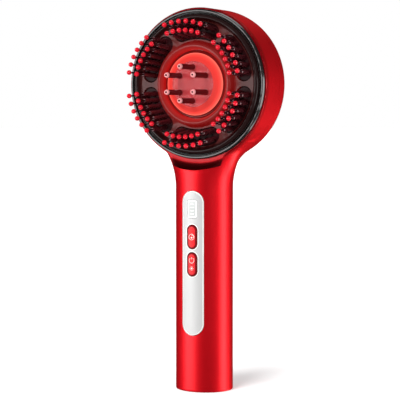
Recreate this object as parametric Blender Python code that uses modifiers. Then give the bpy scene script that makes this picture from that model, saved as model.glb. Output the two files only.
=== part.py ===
"""Cordless scalp massage brush with a lit head, for Blender 4.5.

All sizes below are in millimetres and MM turns them into metres. The brush stands on
its flat base at z = 0, the handle's axis is the Z axis and the bristles face -Y.
Head pieces are placed in the head frame: its origin is the centre of the head's front
lip, its x is the world's x, its y points up and its z ("forward") points along -Y.
"""

import math

import bmesh
import bpy
from mathutils import Matrix

MM = 0.001
GAP = 0.3  # air between two pieces that touch

# Handle and neck: ellipses stacked along Z
HANDLE_A = 16.4  # half width
HANDLE_B = 14.9  # half depth
WALL = 2.4
NECK_Z = 113.6  # the handle starts to widen here
NECK_FILLET = 34.5
BASE_EDGE = 0.5  # rounding of the bottom edge
NECK_TOP = 150.0  # the neck ends here, inside the head
SEAM_Y = 8.0  # plane between the front housing and the back cover

# Head
HEAD_Z = 171.5
HEAD_R = 42.5
LIP_Y = -9.1  # plane of the head's front lip
HEAD_SIDE = 22.0  # straight length of the head's side wall
HEAD_BACK = 31.2  # depth where the back's rounded edge ends
HEAD_BACK_R = 33.0
HEAD_CROWN = 0.6
SCOOP_R = 47.4  # radius of the scoop's edge on the handle's front
BEZEL_R = 41.1  # where the bezel sits inside the lip
BEZEL_BEAD_R = 42.1  # its bead, which overhangs the lip
BEZEL_DEPTH = 4.5
REACH = 240.0  # half size of the cutters that split the body, past all of it

# Control panel on the handle's front
PANEL_W, PANEL_LOW, PANEL_HIGH = 13.0, 32.0, 112.4
PANEL_T = 1.2
BUTTON_W, BUTTON_H = 6.0, 13.2
BUTTON_PROUD = 0.7
POWER_Z, MODE_Z = 71.6, 86.9
DISPLAY_W, DISPLAY_H, DISPLAY_Z = 5.4, 9.6, 102.4
BOARD_FRONT_Y, BOARD_T = -7.5, 1.2
BOARD_LOW, BOARD_HIGH, BOARD_HALF_W = 30.0, 112.0, 10.0

# Charging port in the back cover
PORT_Z = 15.0
FLAP_W, FLAP_H, FLAP_T = 12.0, 8.0, 0.9

# Comb head
COMB_R = 38.6
FLOOR_S = 0.5  # front face of the comb plate, ahead of the lip
PLATE_BACK_S = -1.3
PAD_COUNT = 6
PAD_FIRST_DEG = 90.0
PAD_R, PAD_HALF_W, PAD_HALF_DEG = 29.7, 4.6, 18.2
ROWS = ((27.4, 30.0), (31.9, 35.4))  # radius of a bristle row at its foot and at its tips
ROW_STEP_DEG = 7.6
ROW_BRISTLES = 6
TIP_S = 19.0  # bristle tips, ahead of the lip
SLEEVE_R, SLEEVE_TOP_R, SLEEVE_L = 1.45, 1.2, 11.0
STEM_R, BEAD_R, BEAD_L = 0.5, 1.3, 3.0
NOZZLE_COUNT, NOZZLE_PITCH_R = 6, 9.3
NOZZLE_TIP_S, NOZZLE_FOOT_S = 21.0, -1.2
NOZZLE_R, NOZZLE_BORE_R = 1.5, 0.6
HUB_BORE_R = 19.2
SCREW_PITCH_R = 33.0
SCREW_DEGS = (45, 135, 225, 315)
SCREW_TIP_S = -19.0
BOSS_TOP_S, BOSS_FOOT_S = -7.4, -30.0  # the bosses stand on the inside of the head's back

# Drive and power
MOTOR_Y, MOTOR_Z, MOTOR_R, MOTOR_L = 3.5, 112.6, 6.0, 16.0
CELL_Y, CELL_Z, CELL_R, CELL_L = 3.3, 31.5, 7.1, 50.0

RED = (0.55, 0.004, 0.012)
MATERIALS = {  # colour, roughness, metallic
    "red_shell": (RED, 0.28, 0.75),
    "silver_panel": ((0.62, 0.63, 0.63), 0.35, 0.6),
    "red_button": ((0.6, 0.006, 0.012), 0.25, 0.0),
    "black_gloss": ((0.012, 0.01, 0.011), 0.15, 0.0),
    "smoky_plate": ((0.05, 0.012, 0.012), 0.15, 0.0),
    "bristle": ((0.03, 0.004, 0.006), 0.35, 0.0),
    "clear_red": ((0.6, 0.08, 0.08), 0.1, 0.0),
    "halo": ((0.9, 0.12, 0.1), 0.2, 0.0),
    "display": ((0.9, 0.92, 0.92), 0.3, 0.0),
    "dark_plastic": ((0.05, 0.05, 0.055), 0.5, 0.0),
    "rubber": ((0.03, 0.03, 0.03), 0.7, 0.0),
    "steel": ((0.6, 0.6, 0.62), 0.3, 1.0),
    "board": ((0.01, 0.12, 0.05), 0.5, 0.0),
    "cell_wrap": ((0.05, 0.16, 0.4), 0.4, 0.0),
    "lead_wire": ((0.5, 0.02, 0.02), 0.5, 0.0),
}


def clear_scene():
    for old in list(bpy.data.objects):
        bpy.data.objects.remove(old)


def make_collection(name, hidden):
    made = bpy.data.collections.new(name)
    bpy.context.scene.collection.children.link(made)
    made.hide_render = hidden
    return made


clear_scene()
PARTS = make_collection("scalp_massage_brush", False)
CUTTERS = make_collection("cutters", True)


def make_material(name):
    colour, roughness, metallic = MATERIALS[name]
    made = bpy.data.materials.new(name)
    made.use_nodes = True
    shader = made.node_tree.nodes["Principled BSDF"]
    shader.inputs["Base Color"].default_value = (*colour, 1.0)
    shader.inputs["Roughness"].default_value = roughness
    shader.inputs["Metallic"].default_value = metallic
    return made


LOOKS = {name: make_material(name) for name in MATERIALS}


def add(name, data, look=None, parent=None):
    """Links an object. With a look it is a part, and without one it is a cutter."""
    made = bpy.data.objects.new(name, data)
    (PARTS if look else CUTTERS).objects.link(made)
    made.parent = parent
    if look is None:
        made.hide_render = True
        made.display_type = "WIRE"
    elif data is not None:
        data.materials.clear()
        data.materials.append(LOOKS[look])
    return made


def make_frame(name, location, rotation):
    frame = bpy.data.objects.new(name, None)
    PARTS.objects.link(frame)
    frame.location = [v * MM for v in location]
    frame.rotation_euler = rotation
    return frame


HEAD = make_frame("head_frame", (0, LIP_Y, HEAD_Z), (math.pi / 2, 0, 0))


def turned(name, profile, look=None, parent=HEAD, segments=36, at=(0, 0, 0)):
    """A solid of revolution about its z. profile lists (radius, z) down its outer side.

    A profile that starts and ends on the axis is a solid, and any other closes on itself as a ring.
    """
    mesh = bpy.data.meshes.new(name)
    ring = profile[0][0] > 0
    edges = [(i, i + 1) for i in range(len(profile) - 1)]
    if ring:
        edges.append((len(profile) - 1, 0))
    mesh.from_pydata([(r * MM, 0, z * MM) for r, z in profile], edges, [])
    made = add(name, mesh, look, parent)
    made.location = [v * MM for v in at]
    screw = made.modifiers.new("turn", "SCREW")
    screw.axis = "Z"
    screw.steps = segments
    screw.render_steps = segments
    screw.use_merge_vertices = True
    screw.merge_threshold = 0.00001
    screw.use_smooth_shade = True
    return made


def cylinder(name, radius, low, high, look=None, parent=HEAD, segments=16, at=(0, 0)):
    profile = [(0, high), (radius, high), (radius, low), (0, low)]
    return turned(name, profile, look, parent, segments, (*at, 0))


def arc(centre, radii, first_deg, last_deg, steps):
    """Points on an ellipse's arc, ends included, as (radius, z) pairs."""
    points = []
    for i in range(steps + 1):
        angle = math.radians(first_deg + (last_deg - first_deg) * i / steps)
        points.append(
            (centre[0] + radii[0] * math.cos(angle), centre[1] + radii[1] * math.sin(angle))
        )
    return points


def block(name, low, high, look=None, parent=None, edge=0.0, axis=None, steps=2):
    """A box between two corners. edge rounds its edges, or only those along one axis."""
    shape = bmesh.new()
    bmesh.ops.create_cube(shape, size=1.0)
    size = [b - a for a, b in zip(low, high)]
    centre = [(a + b) / 2 for a, b in zip(low, high)]
    bmesh.ops.scale(shape, vec=[v * MM for v in size], verts=shape.verts)
    if edge:
        chosen = [
            e
            for e in shape.edges
            if axis is None or abs((e.verts[0].co - e.verts[1].co)[axis]) > 1e-7
        ]
        bmesh.ops.bevel(
            shape, geom=chosen, offset=edge * MM, segments=steps, profile=0.5, affect="EDGES"
        )
        bmesh.ops.remove_doubles(shape, verts=shape.verts, dist=2e-6)
    mesh = bpy.data.meshes.new(name)
    shape.to_mesh(mesh)
    shape.free()
    made = add(name, mesh, look, parent)
    made.location = [v * MM for v in centre]
    return made


def stadium(name, width, height, z, y_low, y_high, look=None, x=0.0):
    """A prism along Y whose outline has two straight sides and two round ends."""
    low = (x - width / 2, y_low, z - height / 2)
    high = (x + width / 2, y_high, z + height / 2)
    shorter = min(width, height)
    return block(name, low, high, look, None, edge=shorter / 2 - 0.01, axis=1, steps=6)


def lofted(name, sections, look=None, segments=28):
    """A closed skin over ellipses (z, half width, half depth), lowest first."""
    shape = bmesh.new()
    rings = []
    for z, a, b in sections:
        ring = []
        for i in range(segments):
            angle = 2 * math.pi * i / segments
            ring.append(shape.verts.new((a * math.cos(angle) * MM, b * math.sin(angle) * MM, z * MM)))
        rings.append(ring)
    for lower, upper in zip(rings, rings[1:]):
        for i in range(segments):
            j = (i + 1) % segments
            shape.faces.new((lower[i], lower[j], upper[j], upper[i]))
    shape.faces.new(list(reversed(rings[0])))
    shape.faces.new(rings[-1])
    mesh = bpy.data.meshes.new(name)
    shape.to_mesh(mesh)
    shape.free()
    return add(name, mesh, look)


def outlined(name, points, low, high, look=None, parent=HEAD):
    """A plate with a closed flat outline in x and y, from z = low to z = high."""
    curve = bpy.data.curves.new(name, "CURVE")
    curve.dimensions = "2D"
    curve.fill_mode = "BOTH"
    curve.extrude = (high - low) / 2 * MM
    spline = curve.splines.new("POLY")
    spline.points.add(len(points) - 1)
    for point, (x, y) in zip(spline.points, points):
        point.co = (x * MM, y * MM, 0, 1)
    spline.use_cyclic_u = True
    made = as_mesh(name, curve, look)
    made.parent = parent
    made.location = (0, 0, (low + high) / 2 * MM)
    return made


def as_mesh(name, curve, look=None):
    """A curve turned into a welded mesh object, so that it can be cut or joined."""
    guide = add(name + "_curve", curve)
    graph = bpy.context.evaluated_depsgraph_get()
    mesh = bpy.data.meshes.new_from_object(guide.evaluated_get(graph))
    bpy.data.objects.remove(guide)
    shape = bmesh.new()
    shape.from_mesh(mesh)
    bmesh.ops.remove_doubles(shape, verts=shape.verts, dist=1e-6)
    bmesh.ops.recalc_face_normals(shape, faces=shape.faces)
    shape.to_mesh(mesh)
    shape.free()
    return add(name, mesh, look)


def boolean(target, other, operation="DIFFERENCE"):
    modifier = target.modifiers.new(other.name, "BOOLEAN")
    modifier.operation = operation
    modifier.object = other


def cut(target, *others):
    for other in others:
        boolean(target, other)


def join(target, *others):
    for other in others:
        boolean(target, other, "UNION")


def keep(target, other):
    boolean(target, other, "INTERSECT")


def use_manifold(*targets):
    """Switches to the MANIFOLD solver, where round walls meet so closely that EXACT leaves slivers."""
    for target in targets:
        for modifier in target.modifiers:
            if modifier.type == "BOOLEAN":
                modifier.solver = "MANIFOLD"


def applied(made):
    """The mesh of an object with its modifiers applied, to be shared by copies."""
    graph = bpy.context.evaluated_depsgraph_get()
    return bpy.data.meshes.new_from_object(made.evaluated_get(graph))


def polar(radius, degrees):
    angle = math.radians(degrees)
    return radius * math.cos(angle), radius * math.sin(angle)


def handle_sections(inset, bottom, top, edge=0.0):
    """Ellipses of the handle and neck, moved inwards by inset.

    The neck widens on a round fillet that meets the head's circle, and stays that wide inside the head.
    """
    a, b = HANDLE_A - inset, HANDLE_B - inset
    sections = [(bottom, a - edge, b - edge)]
    if edge:
        sections.append((bottom + edge * 0.3, a - edge * 0.3, b - edge * 0.3))
        sections.append((bottom + edge, a, b))
    sections.append((NECK_Z, a, b))
    reach = HEAD_R + NECK_FILLET
    across = HANDLE_A + NECK_FILLET
    fillet_end = HEAD_Z - math.sqrt(reach**2 - across**2) * HEAD_R / reach
    steps = 5
    for i in range(1, steps + 1):
        rise = (fillet_end - NECK_Z) * i / steps
        wider = NECK_FILLET - math.sqrt(NECK_FILLET**2 - rise**2)
        sections.append((NECK_Z + rise, a + wider, b))
    sections.append((top, sections[-1][1], b))
    return sections


def elliptic(name, inset, look=None):
    """The straight handle's elliptic cylinder, moved inwards by inset."""
    a, b = HANDLE_A - inset, HANDLE_B - inset
    return lofted(name, [(-20, a, b), (130, a, b)], look)


def head_profile(inset, front):
    """The head's side wall and back, moved inwards by inset."""
    edge = arc(
        (HEAD_BACK_R, -HEAD_SIDE + inset * 0.2),
        (HEAD_R - HEAD_BACK_R - inset, HEAD_BACK - HEAD_SIDE - inset * 0.8),
        0,
        -90,
        5,
    )
    crown = -HEAD_BACK - HEAD_CROWN + inset
    return [(0, front), (HEAD_R - inset, front), *edge, (0, crown)]


def scoop_profile(grow):
    """The round scoop that lets the comb head into the handle's front, made larger by grow."""
    foot = HEAD_R + 0.1
    depth = HANDLE_B + LIP_Y
    fillet = arc((foot, depth), (SCOOP_R - foot, depth), -90, 0, 5)
    top = depth + 12
    wall = [(r + grow, s - grow) for r, s in reversed(fillet)]
    return [(0, top), (SCOOP_R + grow + 3, top), *wall, (0, -grow)]


def make_housing():
    """Front housing and back cover: two shells cut from one hollow body."""
    head_outer = turned("head_outer", head_profile(0, 1.0), segments=36)
    head_hollow = turned("head_hollow", head_profile(WALL, 3.0), segments=36)
    scoop = turned("scoop", scoop_profile(0), segments=36)
    scoop_wall = turned("scoop_wall", scoop_profile(WALL), segments=36)
    hollow = lofted("hollow", handle_sections(WALL, -5, NECK_TOP))
    cut(hollow, scoop_wall)
    join(hollow, head_hollow)
    rebate = cylinder("bezel_rebate", BEZEL_R + GAP, -BEZEL_DEPTH - GAP, 3.0, segments=36)
    rear = block("rear_space", (-REACH, SEAM_Y - GAP / 2, -REACH), (REACH, REACH, REACH))
    front = block("front_space", (-REACH, -REACH, -REACH), (REACH, SEAM_Y + GAP / 2, REACH))

    housing = lofted("front_housing", handle_sections(0, 0, NECK_TOP, BASE_EDGE), "red_shell")
    join(housing, head_outer)
    cut(housing, hollow, scoop, rebate, rear)
    add_panel_seat(housing)
    add_base_bosses(housing)

    cover = lofted("back_cover", handle_sections(0, 0, NECK_TOP, BASE_EDGE), "red_shell")
    join(cover, head_outer)
    cut(cover, hollow, front)
    add_cover_bosses(cover)
    add_port(cover)
    use_manifold(hollow, housing, cover)


def add_panel_seat(housing):
    """A pocket for the control panel, with slots for the buttons and the display."""
    middle, height = (PANEL_LOW + PANEL_HIGH) / 2, PANEL_HIGH - PANEL_LOW
    pocket = stadium("panel_pocket", PANEL_W + 2 * GAP, height + 2 * GAP, middle, -30, -5)
    cut(pocket, elliptic("pocket_floor", PANEL_T + GAP))
    cut(housing, pocket)
    for name, z in (("power", POWER_Z), ("mode", MODE_Z)):
        slot = stadium(name + "_slot", BUTTON_W + 2 * GAP, BUTTON_H + 2 * GAP, z, -30, -5)
        cut(housing, slot)
    cut(housing, display_block("display_slot", 0.5, -30, -5))


def display_block(name, grow, y_low, y_high, look=None):
    half_w, half_h = DISPLAY_W / 2 + grow, DISPLAY_H / 2 + grow
    low = (-half_w, y_low, DISPLAY_Z - half_h)
    high = (half_w, y_high, DISPLAY_Z + half_h)
    return block(name, low, high, look, None, edge=0.8, axis=1)


BASE_SCREWS = ((-10.0, -4.5), (10.0, -4.5))


def add_base_bosses(housing):
    """Two bosses that the base cap's screws bite into."""
    for i, at in enumerate(BASE_SCREWS, 1):
        join(housing, cylinder(f"base_boss_{i}", 3.1, 5.4, 17, parent=None, at=at))
        cut(housing, cylinder(f"base_boss_bore_{i}", 1.2, 3, 15, parent=None, at=at, segments=10))


def add_cover_bosses(cover):
    """Four long bosses that the chassis screws bite into."""
    for i, degrees in enumerate(SCREW_DEGS, 1):
        at = polar(SCREW_PITCH_R, degrees)
        join(cover, cylinder(f"cover_boss_{i}", 3.0, BOSS_FOOT_S, BOSS_TOP_S, at=at))
        cut(cover, cylinder(f"cover_boss_bore_{i}", 1.2, SCREW_TIP_S - 0.5, -5, at=at, segments=10))


def add_port(cover):
    """A slot for the charging socket inside a shallow recess for its flap."""
    low = (-FLAP_W / 2 - GAP, 5, PORT_Z - FLAP_H / 2 - 0.5)
    high = (FLAP_W / 2 + GAP, 30, PORT_Z + FLAP_H / 2 + GAP)
    recess = block("flap_recess", low, high, edge=1.0, axis=1)
    cut(recess, elliptic("recess_floor", FLAP_T + GAP))
    cut(cover, recess)
    cut(cover, stadium("port_slot", 9.8, 4.0, PORT_Z, 5, 30))


def make_base():
    a, b = HANDLE_A - WALL - GAP, HANDLE_B - WALL - GAP
    cap = lofted("base_cap", [(0, a, b), (5, a, b)], "dark_plastic")
    for i, at in enumerate(BASE_SCREWS, 1):
        cut(cap, cylinder(f"cap_bore_{i}", 1.3, -1, 6, parent=None, at=at, segments=10))
        cut(cap, cylinder(f"cap_counterbore_{i}", 1.95, -1, 2.2, parent=None, at=at))
        screw(f"base_screw_{i}", at, None, head_z=0.8, head_h=1.1, tip_z=14, up=True)


def screw(name, at, parent, head_z, head_h, tip_z, up):
    """A pan head screw along z, with its head at head_z and its point at tip_z."""
    head_r, shank_r = 1.6, 0.9
    neck = head_z + head_h if up else head_z - head_h
    end = tip_z - 0.8 if up else tip_z + 0.8
    profile = [(0, head_z), (head_r, head_z), (head_r, neck), (shank_r, neck)]
    profile += [(shank_r, end), (0, tip_z)]
    if up:
        profile.reverse()
    return turned(name, profile, "steel", parent, 12, (*at, 0))


def make_panel():
    middle, height = (PANEL_LOW + PANEL_HIGH) / 2, PANEL_HIGH - PANEL_LOW
    panel = stadium("control_panel", PANEL_W, height, middle, -30, -5, "silver_panel")
    keep(panel, elliptic("panel_face", -0.1))
    cut(panel, elliptic("panel_back", PANEL_T))
    cut(panel, display_block("panel_window_hole", GAP, -30, -5))
    window = display_block("display_window", 0, -30, -5, "display")
    keep(window, elliptic("window_face", -0.1))
    cut(window, elliptic("window_back", 1.0))
    half_w, half_h = DISPLAY_W / 2, DISPLAY_H / 2
    low = (-half_w, -11.2, DISPLAY_Z - half_h)
    high = (half_w, BOARD_FRONT_Y - GAP, DISPLAY_Z + half_h)
    block("display_module", low, high, "dark_plastic")
    for name, z in (("power", POWER_Z), ("mode", MODE_Z)):
        slot = stadium(name + "_hole", BUTTON_W + 2 * GAP, BUTTON_H + 2 * GAP, z, -30, -5)
        cut(panel, slot)
        make_button(name, z)


def make_button(name, z):
    """A button cap with its flange, and the switch with the plunger that the cap presses."""
    cap = stadium(name + "_button", BUTTON_W, BUTTON_H, z, -30, -11.0, "red_button")
    keep(cap, elliptic(name + "_button_face", -BUTTON_PROUD))
    join(cap, stadium(name + "_flange", BUTTON_W + 2, BUTTON_H + 2, z, -11.4, -10.5))
    half = 3.0
    front = BOARD_FRONT_Y - 1.9
    low, high = (-half, front, z - half), (half, BOARD_FRONT_Y - GAP, z + half)
    switch = block(name + "_switch", low, high, "dark_plastic")
    frame = make_frame(name + "_switch_frame", (0, 0, z), (math.pi / 2, 0, 0))
    cut(switch, cylinder(name + "_switch_bore", 1.8, 8.3, 12, parent=frame))
    cylinder(name + "_plunger", 1.5, 8.9, 10.2, "rubber", frame, 12)


def make_power():
    """Circuit board, cell, cradle and charging socket inside the handle."""
    low = (-BOARD_HALF_W, BOARD_FRONT_Y, BOARD_LOW)
    high = (BOARD_HALF_W, BOARD_FRONT_Y + BOARD_T, BOARD_HIGH)
    block("main_board", low, high, "board", edge=1.0, axis=1)
    profile = [(0, 1.3), (2.7, 1.3), (2.7, 0), (CELL_R - 0.6, 0), (CELL_R, -0.8)]
    profile += [(CELL_R, -CELL_L), (0, -CELL_L)]
    at = (0, CELL_Y, CELL_Z + CELL_L)
    turned("battery_cell", profile, "cell_wrap", None, 24, at)
    cradle = block("battery_cradle", (-9.6, -5.9, 26.5), (9.6, 3.0, 89), "dark_plastic")
    trough = cylinder(
        "cell_trough", CELL_R + 0.4, CELL_Z - 1, CELL_Z + CELL_L + 2.3, parent=None, at=(0, CELL_Y)
    )
    cut(cradle, trough)
    block("charge_board", (-7.3, -3, 12), (7.3, 9.3, 13), "board", edge=0.8, axis=2)
    socket = stadium("charge_socket", 9.0, 3.3, PORT_Z, 5.4, 12.4, "steel")
    cut(socket, stadium("socket_mouth", 8.3, 2.6, PORT_Z, 6.4, 14))
    join(socket, block("socket_tongue", (-3.3, 6.0, PORT_Z - 0.35), (3.3, 11.4, PORT_Z + 0.35)))
    make_flap()


def make_flap():
    """The silicone flap over the charging port, with a shallow plug."""
    low = (-FLAP_W / 2, 5, PORT_Z - FLAP_H / 2)
    high = (FLAP_W / 2, 30, PORT_Z + FLAP_H / 2)
    flap = block("port_flap", low, high, "rubber", edge=0.9, axis=1)
    keep(flap, elliptic("flap_face", 0.0))
    cut(flap, elliptic("flap_back", FLAP_T))
    join(flap, stadium("flap_plug", 8.0, 2.4, PORT_Z, 12.9, 14.2))


def make_motor():
    """A small motor in the neck with an eccentric weight, which makes the head vibrate."""
    at = (0, MOTOR_Y, 0)
    top = MOTOR_Z + MOTOR_L
    profile = [(2.2, top + 1.2), (2.2, top), (MOTOR_R - 0.4, top), (MOTOR_R, top - 0.4)]
    profile += [(MOTOR_R, MOTOR_Z), (1.1, MOTOR_Z), (1.1, top + 1.2)]
    turned("motor_can", profile, "steel", None, 24, at)
    cylinder("motor_shaft", 0.75, MOTOR_Z + 1, top + 9.5, "steel", None, 12, at[:2])
    weight = cylinder("eccentric_weight", 5.0, top + 2.5, top + 9.0, "steel", None, 24, at[:2])
    cut(weight, block("weight_half", (-8, MOTOR_Y + 1.6, top), (8, MOTOR_Y + 9, top + 12)))
    cut(weight, cylinder("weight_bore", 1.05, top, top + 12, parent=None, at=at[:2]))
    bracket = block("motor_bracket", (-8.4, -4.2, 116), (8.4, 9.9, 124), "dark_plastic", edge=1.5, axis=2)
    cut(bracket, cylinder("bracket_bore", MOTOR_R + GAP, 114, 126, parent=None, at=at[:2], segments=24))


def make_chassis():
    """Everything behind the comb head that stays on the brush."""
    bezel = [(36.6, -2.6), (38.95, -2.6), (38.95, 0.7), (39.6, 1.0), (40.2, 1.7), (41.4, 1.7)]
    bezel += [(BEZEL_BEAD_R, 1.1), (BEZEL_BEAD_R, GAP), (BEZEL_R, GAP), (BEZEL_R, -BEZEL_DEPTH)]
    bezel.append((36.6, -BEZEL_DEPTH))
    turned("bezel_ring", bezel, "black_gloss")
    cup = [(0, -10.9), (21.4, -10.9), (21.4, -4.8), (39.7, -4.8), (39.7, -7.0)]
    cup += [(22.9, -7.0), (22.9, -12.4), (0, -12.4)]
    chassis = turned("head_chassis", cup, "black_gloss")
    cut(chassis, cylinder("led_lead_hole", 1.3, -14, -9, at=(9, -15)))
    for i, degrees in enumerate(SCREW_DEGS, 1):
        at = polar(SCREW_PITCH_R, degrees)
        cut(chassis, cylinder(f"chassis_bore_{i}", 1.3, -9, -4, at=at, segments=10))
        cut(chassis, cylinder(f"chassis_counterbore_{i}", 2.2, -6.2, -4, at=at))
        screw(f"chassis_screw_{i}", at, HEAD, head_z=-4.9, head_h=1.0, tip_z=SCREW_TIP_S, up=False)
    board = cylinder("led_board", 20.9, -10.6, -9.6, "board", segments=36)
    rings = ((0, 1), (8.0, 6), (15.5, 12))
    for ring, (radius, count) in enumerate(rings):
        for i in range(count):
            x, y = polar(radius, 360 * i / count + 15)
            low, high = (x - 1.4, y - 1.4, -9.8), (x + 1.4, y + 1.4, -8.8)
            join(board, block(f"led_{ring}_{i}", low, high, parent=HEAD))


def kidney(radius, half_width, half_deg, centre_deg, round_steps=5, arc_steps=4):
    """Outline of a bent slot: two arcs about the head's axis and two round ends."""
    points = []
    first, last = centre_deg - half_deg, centre_deg + half_deg
    for i in range(arc_steps + 1):
        points.append(polar(radius + half_width, first + (last - first) * i / arc_steps))
    points += round_end(radius, half_width, last, 1, round_steps)
    for i in range(arc_steps + 1):
        points.append(polar(radius - half_width, last - (last - first) * i / arc_steps))
    points += round_end(radius, half_width, first, -1, round_steps)
    return points


def round_end(radius, half_width, degrees, side, steps):
    """Half a circle round the end of a kidney, without its two end points."""
    cx, cy = polar(radius, degrees)
    start = degrees if side > 0 else degrees + 180
    found = []
    for i in range(1, steps):
        x, y = polar(half_width, start + 180 * i / steps)
        found.append((cx + x, cy + y))
    return found


def pad_degs():
    return [PAD_FIRST_DEG + 360 / PAD_COUNT * i for i in range(PAD_COUNT)]


def make_comb():
    """The comb head that pulls off for washing: plate, pads, clamping ring and seal."""
    plate = [(HUB_BORE_R, PLATE_BACK_S), (HUB_BORE_R, 3.0), (20.2, 4.3), (21.5, 4.7)]
    plate += [(22.6, 4.2), (23.5, FLOOR_S), (35.2, FLOOR_S), (36.0, 2.3), (36.8, 3.2)]
    plate += [(37.8, 3.0), (COMB_R, 1.8), (COMB_R, PLATE_BACK_S)]
    comb = turned("comb_plate", plate, "smoky_plate")
    for i, degrees in enumerate(pad_degs(), 1):
        outline = kidney(PAD_R, PAD_HALF_W + GAP, PAD_HALF_DEG, degrees)
        cut(comb, outlined(f"pad_well_{i}", outline, -4, 3))
    backplate = [(21.3, -2.9), (36.2, -2.9), (36.2, -4.1), (21.3, -4.1)]
    turned("comb_backplate", backplate, "dark_plastic")
    turned("comb_seal", arc((37.8, -1.95), (0.5, 0.35), 180, -90, 3), "rubber", segments=32)
    make_pads()


def bristle_profile():
    return [
        (0, TIP_S),
        (BEAD_R, TIP_S - 0.9),
        (STEM_R, TIP_S - BEAD_L),
        (SLEEVE_TOP_R, SLEEVE_L),
        (SLEEVE_R, -1.0),
        (0, -1.0),
    ]


def make_pads():
    """One pad with its bristles, which lean outwards, shared by all pads."""
    body = outlined("pad_body", kidney(PAD_R, PAD_HALF_W, PAD_HALF_DEG, 0), -1.7, -0.2)
    flange = kidney(PAD_R, PAD_HALF_W + 0.9, PAD_HALF_DEG, 0)
    join(body, outlined("pad_flange", flange, -2.6, -1.6))
    for foot_r, tip_r in ROWS:
        lean = math.atan2(tip_r - foot_r, TIP_S)
        for i in range(ROW_BRISTLES):
            degrees = ROW_STEP_DEG * (i - (ROW_BRISTLES - 1) / 2)
            name = f"bristle_{foot_r:.0f}_{i}"
            one = turned(name, bristle_profile(), None, HEAD, 5, (*polar(foot_r, degrees), 0))
            one.rotation_euler = (0, lean, math.radians(degrees))
            join(body, one)
    shared = applied(body)
    for i, degrees in enumerate(pad_degs(), 1):
        pad = add(f"bristle_pad_{i}", shared, "bristle", HEAD)
        pad.matrix_local = Matrix.Rotation(math.radians(degrees), 4, "Z") @ body.matrix_local


def make_nozzles():
    """Serum tank behind the comb's hub, its lit domed cap with six hollow nozzles, and the light guide."""
    tank = [(0, -7.0), (17.0, -7.0), (17.0, -1.7), (20.9, -1.7), (20.9, -2.8)]
    tank += [(18.6, -2.8), (18.6, -8.2), (0, -8.2)]
    turned("serum_tank", tank, "clear_red")
    turned("tank_seal", arc((17.8, -1.0), (0.55, 0.4), 180, -90, 3), "rubber", segments=24)
    guide = [(12.6, -0.9), (12.6, 2.9), (13.4, 2.8), (15.6, 1.5), (15.6, -0.9)]
    turned("light_guide", guide, "halo")
    dome = [(0, 5.0), (12.6, 5.0), (13.2, 4.8), (17.2, 2.5), (17.5, 1.7), (18.9, 1.5)]
    dome += [(18.9, -0.3), (16.4, -0.3), (16.2, 1.7), (12.3, 3.8), (0, 3.8)]
    cap = turned("nozzle_cap", dome, "clear_red")
    tube = [(0, NOZZLE_TIP_S), (0.9, NOZZLE_TIP_S), (1.25, NOZZLE_TIP_S - 0.4)]
    tube += [(NOZZLE_R, NOZZLE_TIP_S - 1.1), (NOZZLE_R, NOZZLE_FOOT_S), (0, NOZZLE_FOOT_S)]
    places = [polar(NOZZLE_PITCH_R, 90 + 360 / NOZZLE_COUNT * i) for i in range(NOZZLE_COUNT)]
    for i, at in enumerate(places):
        join(cap, turned(f"nozzle_{i}", tube, None, HEAD, 10, (*at, 0)))
    for i, at in enumerate(places):
        bore_top = NOZZLE_TIP_S + 1
        cut(cap, cylinder(f"nozzle_bore_{i}", NOZZLE_BORE_R, -2, bore_top, at=at, segments=8))
    use_manifold(cap)


LEADS = {  # routes of the wires inside, with the handle's axis at x = y = 0
    "battery_lead": [(0, 6.5, 83.3), (0, 7, 87), (1, 6, 91.5), (2, 1, 94.5), (3, -3.5, 96.5), (3, -5.8, 97)],
    "motor_lead": [(-3, 3.5, 112.1), (-3, 2.5, 109.5), (-3.5, -1, 107), (-4, -4, 105.5), (-4, -5.8, 105)],
    "led_lead": [(9, 1.9, 156.5), (9, 4.5, 156.5), (9.5, 6.5, 153), (11.5, 6, 145), (11.5, 4, 130),
                 (11, 2, 118), (8.5, -2, 112.5), (7, -5.8, 110)],
}


def make_leads():
    for name, route in LEADS.items():
        curve = bpy.data.curves.new(name, "CURVE")
        curve.dimensions = "3D"
        curve.bevel_depth = 0.7 * MM
        curve.bevel_resolution = 1
        curve.use_fill_caps = True
        spline = curve.splines.new("POLY")
        spline.points.add(len(route) - 1)
        for point, place in zip(spline.points, route):
            point.co = (*[v * MM for v in place], 1)
        add(name, curve, "lead_wire")


make_housing()
make_base()
make_panel()
make_power()
make_motor()
make_chassis()
make_comb()
make_nozzles()
make_leads()
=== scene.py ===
"""Looks of the cordless scalp massage brush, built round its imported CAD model.

Lengths are millimetres, and MM turns them into metres. The brush stands on z = 0 with its bristles facing
-Y. Head pieces are made in the head frame: origin at the centre of the head's front lip, x as in the world,
y up, and z ("ahead") along -Y.
"""

import math

import bmesh
import bpy
import numpy as np
from mathutils import Matrix, Vector


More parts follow.
